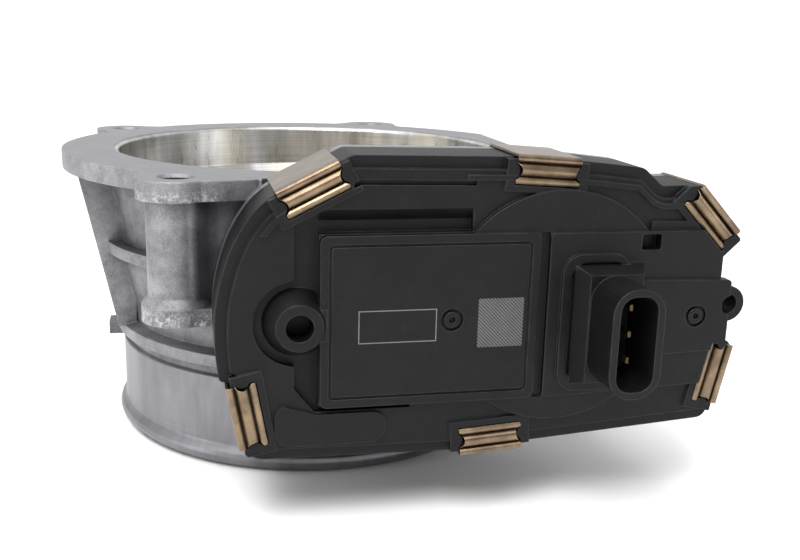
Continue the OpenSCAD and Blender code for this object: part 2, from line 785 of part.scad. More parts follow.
module shaft_seals() {
  color([0.1, 0.1, 0.11]) {
    ringy(0, shaft_z, -51.1, -48.5, 8.97, 5.06);
    ringy(0, shaft_z, 44.9, 47.3, 7.97, 5.06);
  }
}

// ---------- intermediate gear ----------

module idler_gear() {
  wheel = gear_points(wheel_z, mod1, -0.3, -motor_dip, 0, wheel_z - 1);
  small = gear_points(small_z, mod2, 0.25, 180 + 180 / small_z, 0, small_z - 1);
  color([0.93, 0.92, 0.88]) translate([idler_x, 0, shaft_z]) difference() {
    union() {
      ex(-65.4, -61.4) polygon(wheel);
      ex(-72.2, -65.39) polygon(small);
      cy(0, 0, -65.4, -60.2, 5);
    }
    cy(0, 0, -80, -50, 2.53);
    // web recesses
    ringy(0, 0, -63, -60, 18.4, 6.6);
    ringy(0, 0, -66, -64.4, 18.4, 9.6);
    for (i = [0:5]) rotate([0, i * 60 + 20, 0]) cy(13.6, 0, -67, -60, 2.4);
  }
}

module idler_pin() {
  color("silver") {
    cy(idler_x, shaft_z, -74.5, -49.1, 2.49);
  }
}

module idler_washer() {
  color("gray") ringy(idler_x, shaft_z, -60.0, -59.4, 4.4, 2.55);
}

// ---------- motor ----------

module motor_can() {
  color("silver") difference() {
    union() {
      ex(-57.4, -16.8) can_shape(can_r, can_flat);
      cy(motor_x, motor_z, -16.81, -14.9, 5);
    }
    ex(-58, -17.8) can_shape(can_r - 1, can_flat - 1);
    cy(motor_x, motor_z, -18, -15.7, 3.62);
  }
}

module motor_magnets() {
  color([0.28, 0.28, 0.3]) ex(-49, -21) translate([motor_x, motor_z]) for (s = [0, 180]) rotate(s)
    intersection() {
      difference() {
        circle(can_r - 1.03);
        circle(11.5);
      }
      polygon([[0, 0], [14, 17], [-14, 17]]);
      translate([-10.8, 0]) square([21.6, 20]);
    }
}

module motor_end_cap() {
  color([0.12, 0.12, 0.13]) difference() {
    union() {
      ex(-58.9, -57.52) union() {
        can_shape(can_r, can_flat);
        for (p = motor_screw_points) {
          translate(p) circle(3.1);
          polygon([[p[0], p[1] + 3], [p[0], p[1] - 3], [motor_x - 10, p[1] - 5], [motor_x - 10, p[1] + 5]]);
        }
      }
      ex(-57.53, -54.8) can_shape(can_r - 1.06, can_flat - 1.06);
    }
    cy(motor_x, motor_z, -60, -50, 3.45);
    cy(motor_x, motor_z, -56.9, -50, 5.2);
    // brush wells
    bx([motor_x - 2.2, -56.9, motor_z - 10.2], [motor_x + 2.2, -54, motor_z + 10.2]);
    for (p = motor_screw_points) cy(p[0], p[1], -60, -50, 1.7);
    for (s = [-1, 1]) bx([65.6, -60, motor_z + 6.5 * s - 0.6], [66.8, -50, motor_z + 6.5 * s + 0.6]);
  }
}

module motor_screws() {
  color("dimgray") for (p = motor_screw_points) difference() {
    union() {
      cy(p[0], p[1], -58.95, -50, 1.45);
      cy(p[0], p[1], -60.4, -58.94, 2.7);
    }
    translate([p[0], -59.6, p[1]]) rotate([90, 0, 0]) cylinder(h = 2, r = 1.2, $fn = 6);
  }
}

module motor_brushes() {
  for (s = [-1, 1]) {
    color([0.15, 0.13, 0.12]) bx([motor_x - 2, -56.6, motor_z + s * 7 - 2.42],
      [motor_x + 2, -53, motor_z + s * 7 + 2.42]);
    color("peru") bx([motor_x - 1.8, -56.6, motor_z + s * 9.7 - 0.27],
      [motor_x + 1.8, -53, motor_z + s * 9.7 + 0.27]);
  }
}

module motor_front_bush() {
  color("peru") ringy(motor_x, motor_z, -59.4, -56.95, 3.43, 1.63);
}

module motor_rear_bush() {
  color("peru") ringy(motor_x, motor_z, -18.6, -15.75, 3.6, 1.63);
}

module motor_shaft() {
  color("gainsboro") cy(motor_x, motor_z, -65.9, -16.2, 1.6);
}

module motor_pinion() {
  pts = gear_points(pinion_z, mod1, 0.3, 180 - motor_dip + 180 / pinion_z, 0, pinion_z - 1);
  color("goldenrod") translate([motor_x, 0, motor_z]) difference() {
    ex(-65.7, -60.4) polygon(pts);
    cy(0, 0, -70, -50, 1.61);
  }
}

module armature_core() {
  color("gray") difference() {
    cy(motor_x, motor_z, -47, -23, 10.9);
    for (i = [0:4]) translate([motor_x, 0, motor_z]) rotate([0, i * 72, 0]) {
      bx([8.6, -50, -0.7], [12, -20, 0.7]);
      cy(7.1, 0, -50, -20, 2.5);
    }
    cy(motor_x, motor_z, -50, -20, 1.61);
  }
}

module armature_windings() {
  color("chocolate") {
    for (i = [0:4]) translate([motor_x, 0, motor_z]) rotate([0, i * 72, 0]) cy(7.1, 0, -47.6, -22.4, 2.45);
    ringy(motor_x, motor_z, -50, -47.5, 9.8, 3.2);
    ringy(motor_x, motor_z, -22.5, -20.2, 9.8, 3.2);
  }
}

module commutator() {
  color("peru") difference() {
    ringy(motor_x, motor_z, -56.2, -50.2, 4.5, 1.61);
    for (i = [0:4]) translate([motor_x, 0, motor_z]) rotate([0, i * 72 + 36, 0])
      bx([3.6, -57, -0.2], [6, -51, 0.2]);
  }
}

module motor_terminals() {
  color("gold") for (s = [-1, 1])
    bx([65.8, -75.15, motor_z + 6.5 * s - 0.4], [66.6, -55.2, motor_z + 6.5 * s + 0.4]);
}

// ---------- assembly ----------

housing();
far_end_plug();
stop_screw();
gear_cover();
cover_gasket();
cover_clips();
connector_pins();
lead_frame();
sensor_board();
throttle_shaft();
throttle_plate();
plate_screws();
sector_gear();
sector_hub_insert();
sensor_rotor();
return_spring();
spring_guide();
bearing_outer_ring();
bearing_inner_ring();
bearing_balls();
bearing_cage();
needle_cup();
needle_rollers();
shaft_seals();
idler_gear();
idler_pin();
idler_washer();
motor_can();
motor_magnets();
motor_end_cap();
motor_screws();
motor_brushes();
motor_front_bush();
motor_rear_bush();
motor_shaft();
motor_pinion();
armature_core();
armature_windings();
commutator();
motor_terminals();
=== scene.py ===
import math

import bpy
import bmesh
from mathutils import Matrix, Vector


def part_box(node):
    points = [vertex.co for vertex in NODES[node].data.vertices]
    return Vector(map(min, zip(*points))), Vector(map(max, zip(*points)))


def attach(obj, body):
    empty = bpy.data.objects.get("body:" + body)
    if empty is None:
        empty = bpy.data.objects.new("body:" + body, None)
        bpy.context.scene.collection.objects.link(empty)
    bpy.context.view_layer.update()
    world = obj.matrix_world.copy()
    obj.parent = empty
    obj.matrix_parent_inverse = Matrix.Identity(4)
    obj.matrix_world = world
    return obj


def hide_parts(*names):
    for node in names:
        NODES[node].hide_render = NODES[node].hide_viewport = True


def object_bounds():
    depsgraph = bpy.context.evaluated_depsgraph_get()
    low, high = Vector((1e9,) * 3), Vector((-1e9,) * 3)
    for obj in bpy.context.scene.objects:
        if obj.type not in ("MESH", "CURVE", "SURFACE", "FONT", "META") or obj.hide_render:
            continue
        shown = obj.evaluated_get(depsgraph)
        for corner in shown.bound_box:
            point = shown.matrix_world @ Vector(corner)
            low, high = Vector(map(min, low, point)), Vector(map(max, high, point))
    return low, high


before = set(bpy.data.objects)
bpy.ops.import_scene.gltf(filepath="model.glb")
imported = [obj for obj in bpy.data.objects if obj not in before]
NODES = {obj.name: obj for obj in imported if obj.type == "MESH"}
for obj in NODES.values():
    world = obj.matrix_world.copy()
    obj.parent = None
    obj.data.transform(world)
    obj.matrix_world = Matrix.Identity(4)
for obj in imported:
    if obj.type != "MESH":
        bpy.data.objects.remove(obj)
CAD_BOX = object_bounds()
MM = 0.001

# studio
FLOOR_HALF = 25.0
WORLD_FRONT = 0.2
WORLD_BACK = 1.05

# camera of the photo
CAMERA_PLACE = Vector((-33.17, -256.5, 29.6)) * MM
CAMERA_YAW, CAMERA_PITCH, CAMERA_ROLL = 0.221, 0.248, 0.026
CAMERA_LENS = 44.4

# where the casting is machined: radii from the bore axis, and heights
WIDE_BORE_R = 0.0494
NARROW_BORE_R = 0.04655
WIDE_BORE_FLOOR_Z = -0.0164
SPIGOT_TOP_Z = -0.04805
FRONT_EAR = (-0.0345, -0.0545)
OTHER_EARS = ((0.0262, 0.0589), (-0.0487, 0.0423), (0.0508, -0.0397))


# ---------------------------------------------------------------- helpers

def srgb(r, g, b):
    """Linear colour from 0-255 display values."""
    out = []
    for v in (r, g, b):
        c = v / 255
        out.append(c / 12.92 if c <= 0.04045 else ((c + 0.055) / 1.055) ** 2.4)
    return (*out, 1.0)


def scaled(c, k):
    return (min(1, c[0] * k), min(1, c[1] * k), min(1, c[2] * k), 1.0)


class Tree:
    """A small builder for one material's node tree."""

    def __init__(self, name):
        self.mat = bpy.data.materials.new(name)
        self.mat.use_nodes = True
        self.nt = self.mat.node_tree
        self.nt.nodes.clear()
        self.out = self.add("ShaderNodeOutputMaterial")
        self.bsdf = self.add("ShaderNodeBsdfPrincipled")
        self.link(self.bsdf, "BSDF", self.out, "Surface")
        self.coord = self.add("ShaderNodeTexCoord")

    def add(self, kind, **props):
        n = self.nt.nodes.new(kind)
        for k, v in props.items():
            setattr(n, k, v)
        return n

    def link(self, a, ao, b, bi):
        self.nt.links.new(a.outputs[ao], b.inputs[bi])

    def put(self, node, key, value):
        if hasattr(value, "is_output"):
            self.nt.links.new(value, node.inputs[key])
        elif value is not None:
            node.inputs[key].default_value = value

    def mapped(self, scale):
        """Object coordinates stretched by a factor on each axis."""
        m = self.add("ShaderNodeMapping")
        m.inputs["Scale"].default_value = scale
        self.link(self.coord, "Object", m, "Vector")
        return m.outputs["Vector"]

    def noise(self, scale, detail=3.0, rough=0.55, vec=None):
        n = self.add("ShaderNodeTexNoise")
        n.inputs["Scale"].default_value = scale
        n.inputs["Detail"].default_value = detail
        n.inputs["Roughness"].default_value = rough
        n.inputs["Distortion"].default_value = 0.0
        self.put(n, "Vector", vec if vec is not None else self.coord.outputs["Object"])
        return n.outputs["Fac"]

    def voronoi(self, scale):
        n = self.add("ShaderNodeTexVoronoi", feature="F1")
        n.inputs["Scale"].default_value = scale
        self.link(self.coord, "Object", n, "Vector")
        return n.outputs["Distance"]

    def wave(self, direction, scale, distortion, detail=None):
        n = self.add("ShaderNodeTexWave", wave_type="BANDS", bands_direction=direction)
        n.inputs["Scale"].default_value = scale
        n.inputs["Distortion"].default_value = distortion
        if detail is not None:
            n.inputs["Detail"].default_value = detail
        self.link(self.coord, "Object", n, "Vector")
        return n.outputs["Fac"]

    def ramp(self, fac, stops):
        """Grey value ramp from (position, value) pairs."""
        n = self.add("ShaderNodeValToRGB")
        el = n.color_ramp.elements
        while len(el) < len(stops):
            el.new(0.5)
        for e, (p, v) in zip(el, stops):
            e.position = p
            e.color = (v, v, v, 1)
        self.put(n, "Fac", fac)
        return n.outputs["Color"]

    def spread(self, fac, lo, hi, top=1.0):
        """0 up to lo, top from hi on."""
        return self.ramp(fac, [(lo, 0.0), (hi, top)])

    def math(self, op, a, b=None):
        n = self.add("ShaderNodeMath", operation=op)
        self.put(n, 0, a)
        if b is not None:
            self.put(n, 1, b)
        return n.outputs[0]

    def times(self, *values):
        """Product of two or more values."""
        out = values[0]
        for v in values[1:]:
            out = self.math("MULTIPLY", out, v)
        return out

    def plus(self, a, b):
        return self.math("ADD", a, b)

    def inverse(self, a):
        """1 minus the value."""
        return self.math("SUBTRACT", 1.0, a)

    def step(self, value, lo, hi):
        """0 below lo, 1 above hi, straight in between."""
        n = self.add("ShaderNodeMapRange")
        n.clamp = True
        self.put(n, "Value", value)
        n.inputs["From Min"].default_value = lo
        n.inputs["From Max"].default_value = hi
        return n.outputs["Result"]

    def between(self, value, lo, hi, soft):
        """1 from lo to hi, 0 outside, with soft ends."""
        return self.times(self.step(value, lo - soft, lo + soft),
                          self.inverse(self.step(value, hi - soft, hi + soft)))

    def mix(self, fac, a, b):
        n = self.add("ShaderNodeMix", data_type="RGBA")
        self.put(n, 0, fac)
        self.put(n, 6, a)
        self.put(n, 7, b)
        return n.outputs[2]

    def mixf(self, fac, a, b):
        n = self.add("ShaderNodeMix", data_type="FLOAT")
        self.put(n, 0, fac)
        self.put(n, 2, a)
        self.put(n, 3, b)
        return n.outputs[0]

    def xyz(self):
        n = self.add("ShaderNodeSeparateXYZ")
        self.link(self.coord, "Object", n, "Vector")
        return n.outputs["X"], n.outputs["Y"], n.outputs["Z"]

    def facing_up(self):
        """Z of the surface normal."""
        n = self.add("ShaderNodeSeparateXYZ")
        self.link(self.coord, "Normal", n, "Vector")
        return n.outputs["Z"]

    def polar(self, u, v, cu=0.0, cv=0.0):
        """Distance and angle about a point in the plane of u and v."""
        du, dv = self.math("SUBTRACT", u, cu), self.math("SUBTRACT", v, cv)
        r = self.math("SQRT", self.plus(self.times(du, du), self.times(dv, dv)))
        return r, self.math("ARCTAN2", dv, du)

    def vector(self, x, y, z):
        n = self.add("ShaderNodeCombineXYZ")
        self.put(n, 0, x)
        self.put(n, 1, y)
        self.put(n, 2, z)
        return n.outputs[0]

    def bump(self, height, strength, distance, normal=None):
        n = self.add("ShaderNodeBump")
        n.inputs["Strength"].default_value = strength
        n.inputs["Distance"].default_value = distance
        self.put(n, "Height", height)
        if normal is not None:
            self.put(n, "Normal", normal)
        return n.outputs["Normal"]

    def rounded(self, radius):
        """Normals softened over edges, and a mask of where the edges are."""
        b = self.add("ShaderNodeBevel", samples=4)
        b.inputs["Radius"].default_value = radius
        g = self.add("ShaderNodeNewGeometry")
        d = self.add("ShaderNodeVectorMath", operation="DOT_PRODUCT")
        self.link(b, "Normal", d, 0)
        self.link(g, "Normal", d, 1)
        edge = self.step(self.inverse(d.outputs["Value"]), 0.02, 0.28)
        return b.outputs["Normal"], edge

    def hollow_shade(self, reach):
        """0 in the open, toward 1 deep in corners and recesses, where painted shade goes."""
        n = self.add("ShaderNodeAmbientOcclusion", samples=6)
        n.inputs["Distance"].default_value = reach
        return self.inverse(n.outputs["AO"])

    def finish(self, colour, rough, metal=None, normal=None):
        self.put(self.bsdf, "Base Color", colour)
        self.put(self.bsdf, "Roughness", rough)
        if metal is not None:
            self.put(self.bsdf, "Metallic", metal)
        if normal is not None:
            self.put(self.bsdf, "Normal", normal)
        return self.mat


# -------------------------------------------------------------- materials

def cast_housing():
    """Grey die casting with machined flange, bore, seats and turned spigot."""
    t = Tree("cast_aluminium_housing")
    x, y, z = t.xyz()
    nz = t.facing_up()
    r, ang = t.polar(x, y)
    soft, edge = t.rounded(0.0006)

    # where it has been machined
    above = t.step(z, WIDE_BORE_FLOOR_Z - 0.0004, WIDE_BORE_FLOOR_Z + 0.0004)
    wide_bore = t.times(t.inverse(t.step(r, WIDE_BORE_R - 0.0002, WIDE_BORE_R + 0.0002)), above)
    narrow_bore = t.inverse(t.step(r, NARROW_BORE_R - 0.00015, NARROW_BORE_R + 0.00015))
    bore = t.math("MAXIMUM", wide_bore, narrow_bore)
    spigot = t.inverse(t.step(z, SPIGOT_TOP_Z - 0.00015, SPIGOT_TOP_Z + 0.00015))
    face = t.times(t.step(z, -0.0004, -0.0001), t.step(nz, 0.9, 0.97))
    face = t.times(face, t.step(y, -0.0700, -0.0690))
    machined = t.math("MAXIMUM", t.math("MAXIMUM", bore, spigot), face)

    # casting skin, with painted shade in the hollows and a dry white bloom
    grain = t.noise(4200, 3, 0.6)
    blot = t.noise(170, 6, 0.72)
    wide = t.noise(30, 4, 0.55)
    skin = t.mix(t.spread(blot, 0.34, 0.66), srgb(98, 98, 101), srgb(154, 154, 157))
    skin = t.mix(t.spread(grain, 0.44, 0.66, 0.4), skin, srgb(176, 176, 180))
    skin = t.mix(t.ramp(grain, [(0.32, 0.3), (0.46, 0.0)]), skin, srgb(78, 78, 82))
    skin = t.mix(t.spread(wide, 0.42, 0.72, 0.5), skin, srgb(80, 80, 85))
    # edges painted lighter: painted highlight
    skin = t.mix(t.times(edge, 0.45), skin, srgb(178, 178, 182))

    # tool marks: rings down the bore and spigot, arcs across the face
    rings = t.noise(1.0, 2, 0.5, t.vector(t.times(ang, 1.4), 0.0, t.times(z, 4200)))
    arcs = t.noise(1.0, 2, 0.5, t.vector(t.times(ang, 3.0), t.times(r, 3000), 0.0))
    lines = t.mixf(face, rings, arcs)
    # vertical bands round the bore and spigot, painted lighter and darker: painted reflection of
    # the lamps; the warm bands paint a yellowish reflection into the bore
    reflection_streak = t.noise(1.0, 4, 0.6, t.vector(t.times(ang, 5.5), 0.0, t.times(z, 22)))
    warm_reflection = t.noise(1.0, 2, 0.5, t.vector(t.times(ang, 2.3), 3.0, t.times(z, 9)))
    bright = t.mix(t.spread(reflection_streak, 0.36, 0.64), srgb(150, 149, 148), srgb(212, 212, 213))
    bright = t.mix(t.spread(warm_reflection, 0.5, 0.66, 0.45), bright, srgb(198, 188, 154))
    tube_skin = t.mix(t.spread(reflection_streak, 0.36, 0.64), srgb(104, 104, 107), srgb(132, 132, 136))
    bright = t.mix(bore, tube_skin, bright)
    plain = t.mix(t.spread(blot, 0.35, 0.7), srgb(128, 128, 132), srgb(144, 144, 148))
    # edges of the machined face painted lighter: painted highlight
    plain = t.mix(t.times(edge, 0.5), plain, srgb(196, 196, 199))
    bright = t.mix(face, bright, plain)
    bright = t.mix(t.spread(lines, 0.4, 0.62, 0.3), bright, srgb(112, 113, 116))

    # bright fractured gate marks on the front ear's lower edge and on the column's foot
    chips = t.noise(900, 5, 0.8)
    ear = t.polar(x, y, *FRONT_EAR)[0]
    near_ear = t.times(t.between(ear, 0.0074, 0.0100, 0.0003),
                       t.between(z, -0.0046, -0.0022, 0.0006),
                       t.inverse(t.step(y, -0.0575, -0.0555)))
    foot = t.times(t.between(ear, 0.0070, 0.0090, 0.0003),
                   t.between(z, -0.0298, -0.0268, 0.0006))
    broken = t.times(t.math("MAXIMUM", near_ear, foot), t.step(chips, 0.48, 0.62))

    # bolt and dowel holes painted dull and dark inside: painted shade
    near = ear
    for centre in OTHER_EARS:
        near = t.math("MINIMUM", near, t.polar(x, y, *centre)[0])
    hole_shade = t.times(t.between(r, 0.0612, 0.0678, 0.0001), t.inverse(t.step(z, -0.0009, -0.0006)),
                   t.inverse(t.step(t.math("ABSOLUTE", nz), 0.1, 0.3)),
                   t.inverse(t.step(near, 0.0034, 0.0038)))
    skin = t.mix(hole_shade, skin, srgb(48, 48, 50))
    # corners and recesses painted dark grey: painted shade
    skin = t.mix(t.step(t.hollow_shade(0.016), 0.12, 0.85), skin, srgb(46, 46, 49))

    colour = t.mix(machined, skin, bright)
    colour = t.mix(broken, colour, srgb(176, 177, 181))
    cut_rough = t.mixf(bore, t.mixf(reflection_streak, 0.34, 0.44), t.mixf(reflection_streak, 0.22, 0.34))
    rough = t.mixf(machined, t.mixf(blot, 0.46, 0.64), cut_rough)
    rough = t.mixf(face, rough, t.mixf(blot, 0.40, 0.52))
    rough = t.mixf(broken, rough, 0.3)

    pits = t.ramp(t.voronoi(1700), [(0.0, 1.0), (0.12, 0.0)])
    skin_height = t.plus(t.times(grain, 0.8), t.times(blot, 0.9))
    skin_height = t.math("SUBTRACT", skin_height, t.times(pits, 0.3))
    skin_height = t.plus(skin_height, t.times(chips, broken, 1.4))
    height = t.mixf(machined, skin_height, t.times(lines, 0.13))
    n = t.bump(height, 0.5, 0.00022, normal=soft)
    return t.finish(colour, rough, t.mixf(machined, 0.75, 0.95), n)


def panel_marks(t, mottle):
    """Mask of the pale laser marks on the cover's panel: an empty frame and a hatched square."""
    x, y, z = t.xyz()
    soft = 0.00002
    front = t.inverse(t.step(y, -0.07797, -0.07790))
    outer = t.times(t.between(x, -0.0010, 0.0145, soft), t.between(z, -0.0293, -0.0227, soft))
    inner = t.times(t.between(x, -0.0008, 0.0143, soft), t.between(z, -0.0291, -0.0229, soft))
    square = t.times(t.between(x, 0.0229, 0.0322, soft), t.between(z, -0.0310, -0.0210, soft))
    hatch = t.step(t.math("SINE", t.times(t.plus(x, z), 9000)), -0.2, 0.2)
    mark = t.plus(t.math("SUBTRACT", outer, inner), t.times(square, t.mixf(hatch, 0.25, 0.8)))
    return t.times(mark, front, t.mixf(mottle, 0.45, 0.8))


def cover_plastic(name="black_moulded_cover", tone=(10, 10, 11), fine=2100, marked=True):
    """Black glass-filled plastic with a spark-eroded texture, edges lighter as rubbed wear and
    painted highlight, and painted shade in the recesses.
    """
    t = Tree(name)
    soft, edge = t.rounded(0.0004)
    grain = t.noise(fine, 3, 0.6)
    mottle = t.noise(240, 5, 0.65)
    wide = t.noise(34, 3, 0.55)
    base = srgb(*tone)
    colour = t.mix(t.spread(mottle, 0.35, 0.7), scaled(base, 0.7), scaled(base, 1.35))
    colour = t.mix(t.spread(wide, 0.42, 0.75, 0.5), colour, scaled(base, 1.9))
    colour = t.mix(t.spread(grain, 0.56, 0.76, 0.4), colour, srgb(36, 36, 39))
    # edges painted lighter: partly rubbed wear, partly painted highlight
    worn_and_highlit_edge = t.times(edge, t.ramp(mottle, [(0.3, 0.25), (0.7, 0.8)]))
    colour = t.mix(worn_and_highlit_edge, colour, srgb(78, 78, 82))
    # recesses painted near black: painted shade
    colour = t.mix(t.step(t.hollow_shade(0.004), 0.2, 0.9), colour, srgb(3, 3, 3))
    if marked:
        colour = t.mix(panel_marks(t, mottle), colour, srgb(128, 128, 128))
    rough = t.mixf(edge, t.mixf(wide, 0.40, 0.58), 0.34)
    flow = t.noise(1.0, 2, 0.5, t.mapped((180, 60, 700)))
    height = t.plus(t.times(grain, 0.8), t.times(mottle, 0.6))
    height = t.plus(height, t.times(flow, 0.12))
    n = t.bump(height, 0.38, 0.0001, normal=soft)
    t.bsdf.inputs["Specular IOR Level"].default_value = 0.2
    return t.finish(colour, rough, None, n)


def clip_steel():
    """Bronze-coloured coated spring strip with rolling marks, greyer sides as painted
    reflection, a groove in painted shade and a painted highlight on the edges and bends.
    """
    t = Tree("bronze_coated_spring_strip")
    soft, edge = t.rounded(0.00018)
    x, y, z = t.xyz()
    blot = t.noise(240, 4, 0.6)
    fine = t.noise(1.0, 2, 0.6, t.mapped((2600, 160, 2600)))
    patch = t.spread(blot, 0.35, 0.7)
    # sides painted greyer than the gold front, where the strip reflects: painted reflection
    side = t.mix(patch, srgb(116, 106, 97), srgb(146, 135, 123))
    gold = t.mix(patch, srgb(104, 89, 72), srgb(142, 123, 101))
    front = t.inverse(t.step(y, -0.0762, -0.0750))
    groove_shade = t.step(y, -0.0762, -0.0757)
    colour = t.mix(front, side, gold)
    # groove on the front painted dark brown: painted shade
    colour = t.mix(t.times(groove_shade, front, 0.6), colour, srgb(60, 50, 40))
    colour = t.mix(t.spread(fine, 0.55, 0.8, 0.4), colour, srgb(98, 84, 68))
    # edges and bends painted lighter: painted highlight
    colour = t.mix(t.times(edge, 0.5), colour, srgb(200, 187, 168))
    height = t.plus(t.times(fine, 0.5), t.times(blot, 0.5))
    n = t.bump(height, 0.2, 0.00006, normal=soft)
    return t.finish(colour, t.mixf(blot, 0.30, 0.42), 0.96, n)


def metal(name, tone, rough=(0.25, 0.4), pattern="plain", dark=0.75, strength=0.2,
          metallic=1.0):
    """Worked metal: plain, turned about Y, ground along Y, wound, stacked or sintered."""
    t = Tree(name)
    blot = t.noise(180, 4, 0.6)
    stretched = {"turned": (120, 6500, 120), "ground": (4200, 200, 4200),
                 "rolled": (260, 5200, 5200)}
    if pattern in stretched:
        fine = t.noise(1.0, 2, 0.5, t.mapped(stretched[pattern]))
    elif pattern == "stacked":
        fine = t.wave("Y", 320, 0.25)
    elif pattern == "wound":
        fine = t.wave("DIAGONAL", 420, 1.2)
    elif pattern == "sintered":
        fine = t.voronoi(4200)
    else:
        fine = t.noise(2200, 3, 0.6)
    base = srgb(*tone)
    colour = t.mix(t.spread(blot, 0.32, 0.72), scaled(base, dark), scaled(base, 1.12))
    colour = t.mix(t.ramp(fine, [(0.35, 0.3), (0.7, 0.0)]), colour, scaled(base, dark * 0.7))
    n = t.bump(t.plus(fine, t.times(blot, 0.5)), strength, 0.00006)
    return t.finish(colour, t.mixf(blot, rough[0], rough[1]), metallic, n)


def plastic(name, tone, rough=(0.4, 0.58), fine=1900, sub=0.0):
    """Moulded plastic or rubber with flow marks and a little soiling."""
    t = Tree(name)
    grain = t.noise(fine, 3, 0.6)
    mottle = t.noise(210, 4, 0.6)
    flow = t.noise(1.0, 2, 0.5, t.mapped((90, 500, 140)))
    base = srgb(*tone)
    colour = t.mix(t.spread(mottle, 0.33, 0.72), scaled(base, 0.8), scaled(base, 1.12))
    colour = t.mix(t.spread(flow, 0.5, 0.8, 0.3), colour, scaled(base, 0.62))
    n = t.bump(t.plus(grain, t.times(mottle, 0.6)), 0.18, 0.00008)
    if sub:
        t.bsdf.inputs["Subsurface Weight"].default_value = sub
        t.bsdf.inputs["Subsurface Radius"].default_value = (0.001, 0.0008, 0.0006)
    return t.finish(colour, t.mixf(mottle, rough[0], rough[1]), None, n)


def throttle_plate_metal():
    """Rolled brass plate, darkened faces and a bright turned rim."""
    t = Tree("rolled_brass_plate")
    x, y, z = t.xyz()
    r = t.polar(x, y)[0]
    blot = t.noise(70, 5, 0.65)
    rolled = t.noise(1.0, 3, 0.6, t.mapped((80, 2600, 80)))
    film = t.noise(24, 4, 0.6)
    face = t.mix(t.spread(blot, 0.3, 0.72), srgb(138, 122, 88), srgb(174, 158, 120))
    face = t.mix(t.spread(film, 0.45, 0.8, 0.5), face, srgb(118, 104, 80))
    colour = t.mix(t.step(r, 0.0424, 0.0430), face, srgb(214, 200, 158))
    n = t.bump(t.plus(rolled, t.times(blot, 0.6)), 0.22, 0.00006)
    return t.finish(colour, t.mixf(blot, 0.30, 0.46), 1.0, n)


def board():
    """Green solder mask over copper tracks, with a dark chip on top."""
    t = Tree("solder_masked_board")
    x, y, z = t.xyz()
    track = t.spread(t.wave("X", 240, 6.0, detail=1.0), 0.46, 0.54)
    mottle = t.noise(300, 3, 0.6)
    green = t.mix(track, srgb(16, 72, 38), srgb(34, 104, 58))
    green = t.mix(t.spread(mottle, 0.4, 0.8, 0.3), green, srgb(10, 50, 28))
    colour = t.mix(t.step(y, -0.0742, -0.0741), green, srgb(24, 24, 26))
    n = t.bump(t.plus(track, t.times(mottle, 0.4)), 0.3, 0.00006)
    return t.finish(colour, t.mixf(mottle, 0.25, 0.4), None, n)


def studio_floor():
    t = Tree("pale_floor")
    n = t.noise(9, 2, 0.5)
    return t.finish(t.mix(n, (0.86, 0.86, 0.86, 1), (0.88, 0.88, 0.88, 1)), 0.75)


def dress(name, mat):
    o = NODES[name]
    o.data.materials.clear()
    o.data.materials.append(mat)


